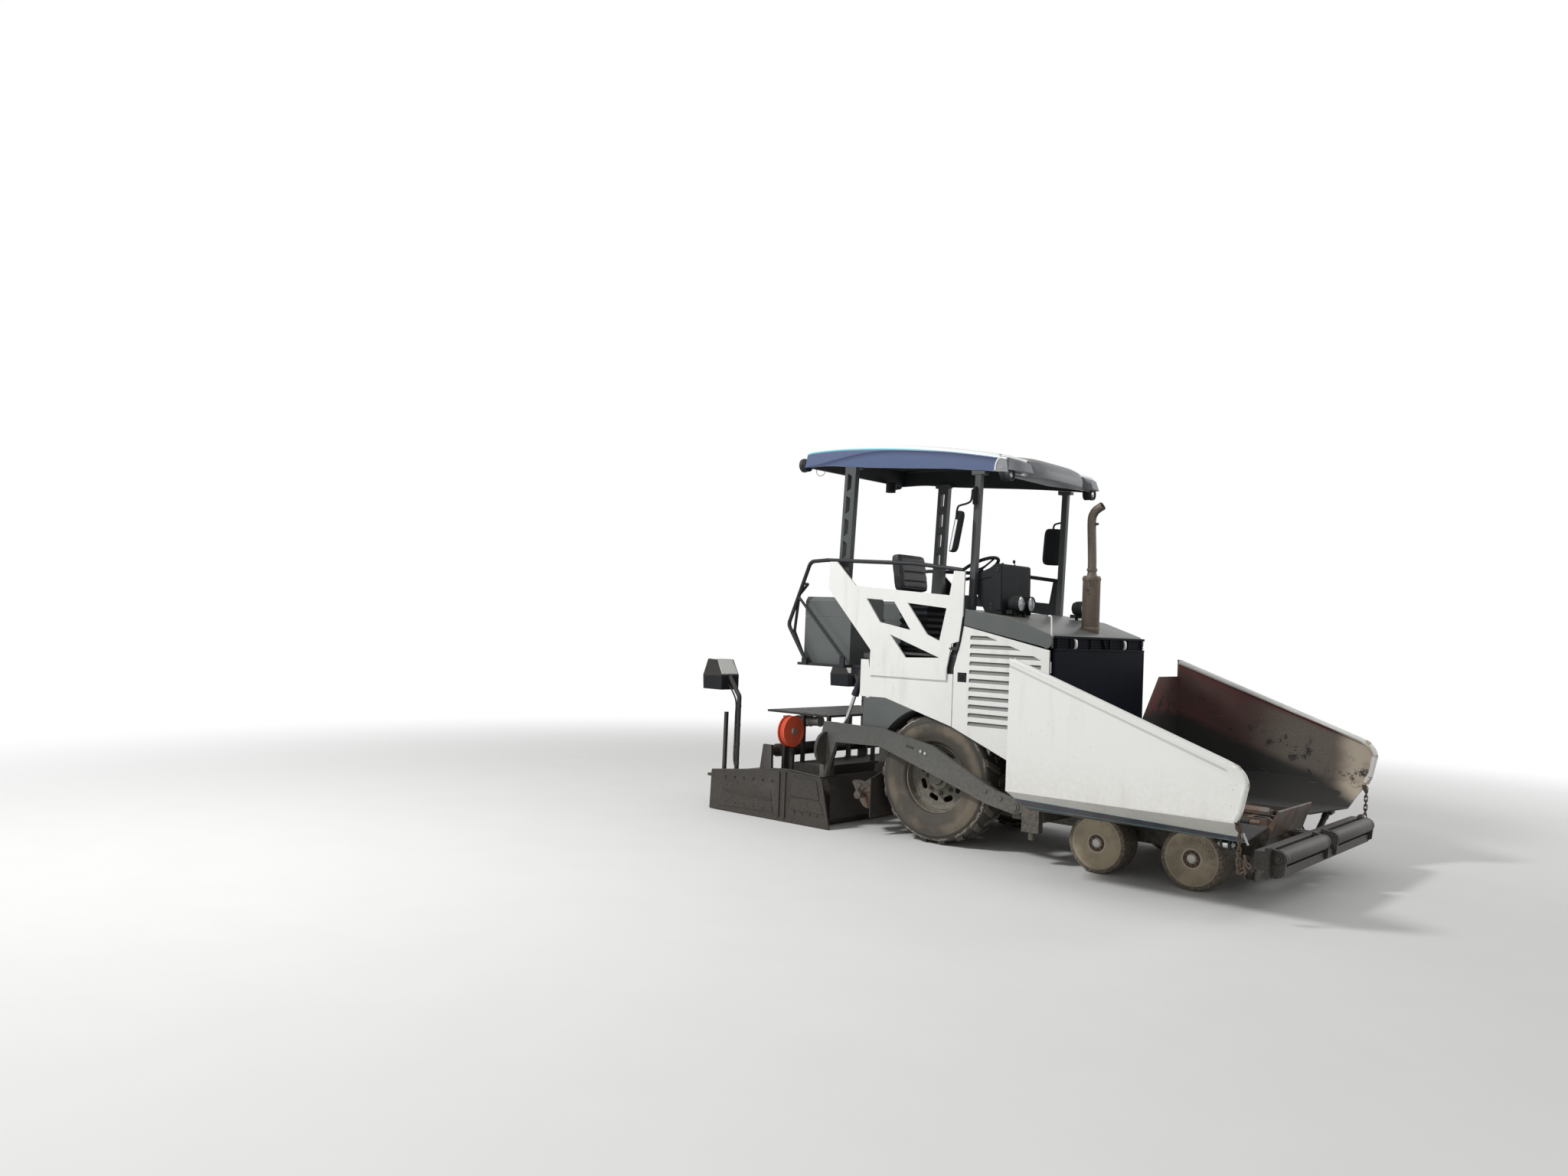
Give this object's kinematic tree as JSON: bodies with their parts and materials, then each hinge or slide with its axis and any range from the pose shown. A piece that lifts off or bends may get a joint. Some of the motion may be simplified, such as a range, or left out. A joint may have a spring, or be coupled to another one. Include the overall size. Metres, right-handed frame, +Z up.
{
  "type": "wheeled asphalt paver",
  "caption": "Wheeled asphalt paver with a folding hopper, conveyors, augers, an extending towed screed, a driving stand and a canopy.",
  "frame": {"origin": "middle of the length and width, on the ground", "axes": "+X forward, +Y to the left, +Z up"},
  "size_m": [5.455, 3.149, 3.463],
  "materials": {
    "frame_paint": "dusty dark grey paint",
    "engine": "plain casting",
    "body_grey": "satin grey paint",
    "body_white": "gloss white paint",
    "dark_paint": "satin black paint",
    "seat_cover": "black vinyl",
    "black_plastic": "textured black plastic",
    "exhaust_rust": "rusty brown",
    "canopy_blue": "gloss blue gel coat",
    "worn_steel": "worn dull steel",
    "tyre": "dusty rubber",
    "rim_paint": "dusty grey paint",
    "ram_paint": "black paint",
    "ram_chrome": "chromed rod",
    "screed_steel": "tarred dark steel",
    "reel_red": "orange red plastic"
  },
  "bodies": {
    "tractor": {"chassis": "frame_paint", "engine_block": "engine", "fenders": "body_grey", "side_panels": "body_white", "deck_panels": "body_white", "hood": "body_grey", "front_wall": "dark_paint", "deck": "dark_paint", "platform": "dark_paint", "cabinets": "body_grey", "handrails": "dark_paint", "seat": "seat_cover", "console": "black_plastic", "exhaust": "exhaust_rust", "canopy": "canopy_blue", "posts": "dark_paint", "mirrors": "black_plastic", "canopy_lamps": "black_plastic", "hood_lamps": "black_plastic", "hopper_base": "worn_steel", "conveyors": "worn_steel", "front_axle": "frame_paint", "auger_frame": "frame_paint"},
    "door_right": {"door_right": "body_white"},
    "door_left": {"door_left": "body_white"},
    "lid_right": {"lid_right": "body_grey"},
    "lid_left": {"lid_left": "body_grey"},
    "steering_wheel": {"steering_wheel": "black_plastic"},
    "rear_wheel_right": {"rear_tyre_right": "tyre", "rear_rim_right": "rim_paint"},
    "rear_wheel_left": {"rear_tyre_left": "tyre", "rear_rim_left": "rim_paint"},
    "wing_right": {"wing_right": "body_white"},
    "wing_left": {"wing_left": "body_white"},
    "wing_barrel_right": {"wing_barrel_right": "ram_paint"},
    "wing_barrel_left": {"wing_barrel_left": "ram_paint"},
    "wing_rod_right": {"wing_rod_right": "ram_chrome"},
    "wing_rod_left": {"wing_rod_left": "ram_chrome"},
    "push_beam": {"push_beam": "frame_paint"},
    "roller_right": {"roller_right": "worn_steel"},
    "roller_left": {"roller_left": "worn_steel"},
    "auger_right": {"auger_right": "worn_steel"},
    "auger_left": {"auger_left": "worn_steel"},
    "screed": {"tow_arms": "screed_steel", "screed": "screed_steel"},
    "extension_right": {"extension_right": "screed_steel"},
    "extension_left": {"extension_left": "screed_steel"},
    "lift_barrel_right": {"lift_barrel_right": "ram_paint"},
    "lift_barrel_left": {"lift_barrel_left": "ram_paint"},
    "lift_rod_right": {"lift_rod_right": "ram_chrome"},
    "lift_rod_left": {"lift_rod_left": "ram_chrome"},
    "hose_reel": {"hose_reel": "reel_red"},
    "knuckle_front_right": {"knuckle_front_right": "frame_paint"},
    "wheel_front_right": {"wheel_front_right": "tyre"},
    "knuckle_front_left": {"knuckle_front_left": "frame_paint"},
    "wheel_front_left": {"wheel_front_left": "tyre"},
    "knuckle_rear_right": {"knuckle_rear_right": "frame_paint"},
    "wheel_rear_right": {"wheel_rear_right": "tyre"},
    "knuckle_rear_left": {"knuckle_rear_left": "frame_paint"},
    "wheel_rear_left": {"wheel_rear_left": "tyre"}
  },
  "joints": [
    {"name": "rear_wheel_right_spin", "type": "hinge", "parent": "tractor", "child": "rear_wheel_right", "pos_m": [-0.2275, -0.6575, 0.55], "axis": [0, 1, 0], "continuous": true},
    {"name": "rear_wheel_left_spin", "type": "hinge", "parent": "tractor", "child": "rear_wheel_left", "pos_m": [-0.2275, 0.6575, 0.55], "axis": [0, 1, 0], "continuous": true},
    {"name": "steer_front_right", "type": "hinge", "parent": "tractor", "child": "knuckle_front_right", "pos_m": [1.9795, -0.49, 0.23], "axis": [0, 0, 1], "range_deg": [-20, 20]},
    {"name": "wheel_front_right_spin", "type": "hinge", "parent": "knuckle_front_right", "child": "wheel_front_right", "pos_m": [1.9795, -0.675, 0.23], "axis": [0, 1, 0], "continuous": true},
    {"name": "steer_front_left", "type": "hinge", "parent": "tractor", "child": "knuckle_front_left", "pos_m": [1.9795, 0.49, 0.23], "axis": [0, 0, 1], "range_deg": [-20, 20]},
    {"name": "wheel_front_left_spin", "type": "hinge", "parent": "knuckle_front_left", "child": "wheel_front_left", "pos_m": [1.9795, 0.675, 0.23], "axis": [0, 1, 0], "continuous": true},
    {"name": "steer_rear_right", "type": "hinge", "parent": "tractor", "child": "knuckle_rear_right", "pos_m": [1.2455, -0.49, 0.23], "axis": [0, 0, 1], "range_deg": [-13.4, 13.4]},
    {"name": "wheel_rear_right_spin", "type": "hinge", "parent": "knuckle_rear_right", "child": "wheel_rear_right", "pos_m": [1.2455, -0.675, 0.23], "axis": [0, 1, 0], "continuous": true},
    {"name": "steer_rear_left", "type": "hinge", "parent": "tractor", "child": "knuckle_rear_left", "pos_m": [1.2455, 0.49, 0.23], "axis": [0, 0, 1], "range_deg": [-13.4, 13.4]},
    {"name": "wheel_rear_left_spin", "type": "hinge", "parent": "knuckle_rear_left", "child": "wheel_rear_left", "pos_m": [1.2455, 0.675, 0.23], "axis": [0, 1, 0], "continuous": true},
    {"name": "wing_right_fold", "type": "hinge", "parent": "tractor", "child": "wing_right", "pos_m": [1.6725, -0.455, 0.5], "axis": [-1, 0, 0], "range_deg": [0, 55]},
    {"name": "wing_barrel_right_turn", "type": "hinge", "parent": "tractor", "child": "wing_barrel_right", "pos_m": [2.3525, -0.64, 0.15], "axis": [-1, 0, 0], "range_deg": [0, 44.14]},
    {"name": "wing_rod_right_slide", "type": "slide", "parent": "wing_barrel_right", "child": "wing_rod_right", "axis": [0, -0.8722, 0.4891], "range_m": [0, 0.3391]},
    {"name": "wing_left_fold", "type": "hinge", "parent": "tractor", "child": "wing_left", "pos_m": [1.6725, 0.455, 0.5], "axis": [1, 0, 0], "range_deg": [0, 55]},
    {"name": "wing_barrel_left_turn", "type": "hinge", "parent": "tractor", "child": "wing_barrel_left", "pos_m": [2.3525, 0.64, 0.15], "axis": [1, 0, 0], "range_deg": [0, 44.14]},
    {"name": "wing_rod_left_slide", "type": "slide", "parent": "wing_barrel_left", "child": "wing_rod_left", "axis": [0, 0.8722, 0.4891], "range_m": [0, 0.3391]},
    {"name": "push_beam_swivel", "type": "hinge", "parent": "tractor", "child": "push_beam", "pos_m": [2.4725, 0, 0.36], "axis": [0, 0, 1], "range_deg": [-5, 5]},
    {"name": "roller_right_spin", "type": "hinge", "parent": "push_beam", "child": "roller_right", "pos_m": [2.6725, -0.59, 0.38], "axis": [0, 1, 0], "continuous": true},
    {"name": "auger_right_spin", "type": "hinge", "parent": "tractor", "child": "auger_right", "pos_m": [-0.9475, -0.5, 0.33], "axis": [0, 1, 0], "continuous": true},
    {"name": "roller_left_spin", "type": "hinge", "parent": "push_beam", "child": "roller_left", "pos_m": [2.6725, 0.59, 0.38], "axis": [0, 1, 0], "continuous": true},
    {"name": "auger_left_spin", "type": "hinge", "parent": "tractor", "child": "auger_left", "pos_m": [-0.9475, 0.5, 0.33], "axis": [0, 1, 0], "continuous": true},
    {"name": "screed_lift", "type": "hinge", "parent": "tractor", "child": "screed", "pos_m": [0.5985, 0, 0.429], "axis": [0, 1, 0], "range_deg": [0, 8]},
    {"name": "lift_barrel_right_turn", "type": "hinge", "parent": "tractor", "child": "lift_barrel_right", "pos_m": [-0.9775, -0.8, 1.55], "axis": [0, 1, 0], "range_deg": [0, 0.894]},
    {"name": "lift_rod_right_slide", "type": "slide", "parent": "lift_barrel_right", "child": "lift_rod_right", "axis": [-0.3423, 0, -0.9396], "range_m": [-0.2631, 0]},
    {"name": "extension_right_slide", "type": "slide", "parent": "screed", "child": "extension_right", "axis": [0, -1, 0], "range_m": [0, 0.7]},
    {"name": "lift_barrel_left_turn", "type": "hinge", "parent": "tractor", "child": "lift_barrel_left", "pos_m": [-0.9775, 0.8, 1.55], "axis": [0, 1, 0], "range_deg": [0, 0.894]},
    {"name": "lift_rod_left_slide", "type": "slide", "parent": "lift_barrel_left", "child": "lift_rod_left", "axis": [-0.3423, 0, -0.9396], "range_m": [-0.2631, 0]},
    {"name": "extension_left_slide", "type": "slide", "parent": "screed", "child": "extension_left", "axis": [0, 1, 0], "range_m": [0, 0.7]},
    {"name": "hose_reel_spin", "type": "hinge", "parent": "screed", "child": "hose_reel", "pos_m": [-1.7775, -0.88, 0.81], "axis": [1, 0, 0], "continuous": true},
    {"name": "door_right_open", "type": "hinge", "parent": "tractor", "child": "door_right", "pos_m": [0.8325, -0.838, 1.2], "axis": [0, 0, 1], "range_deg": [0, 80]},
    {"name": "door_left_open", "type": "hinge", "parent": "tractor", "child": "door_left", "pos_m": [0.8325, 0.838, 1.2], "axis": [0, 0, -1], "range_deg": [0, 80]},
    {"name": "lid_right_open", "type": "hinge", "parent": "tractor", "child": "lid_right", "pos_m": [-1.4875, -0.25, 1.8865], "axis": [-1, 0, 0], "range_deg": [0, 80]},
    {"name": "lid_left_open", "type": "hinge", "parent": "tractor", "child": "lid_left", "pos_m": [-1.4875, 0.25, 1.8865], "axis": [1, 0, 0], "range_deg": [0, 80]},
    {"name": "steering_wheel_turn", "type": "hinge", "parent": "tractor", "child": "steering_wheel", "pos_m": [-0.0375, -0.5, 2.312], "axis": [-0.5, 0, 0.866], "range_deg": [-540, 540]}
  ],
  "couplings": [
    {"joint": "steer_front_left", "follows": "steer_front_right", "ratio": 1},
    {"joint": "steer_rear_right", "follows": "steer_front_right", "ratio": 0.67},
    {"joint": "steer_rear_left", "follows": "steer_front_right", "ratio": 0.67},
    {"joint": "wing_barrel_right_turn", "follows": "wing_right_fold", "ratio": 0.7989},
    {"joint": "wing_rod_right_slide", "follows": "wing_right_fold", "m_per_rad": 0.3512},
    {"joint": "wing_barrel_left_turn", "follows": "wing_left_fold", "ratio": 0.7989},
    {"joint": "wing_rod_left_slide", "follows": "wing_left_fold", "m_per_rad": 0.3512},
    {"joint": "lift_barrel_right_turn", "follows": "screed_lift", "ratio": 0.0992},
    {"joint": "lift_rod_right_slide", "follows": "screed_lift", "m_per_rad": -1.8702},
    {"joint": "lift_barrel_left_turn", "follows": "screed_lift", "ratio": 0.0992},
    {"joint": "lift_rod_left_slide", "follows": "screed_lift", "m_per_rad": -1.8702}
  ]
}
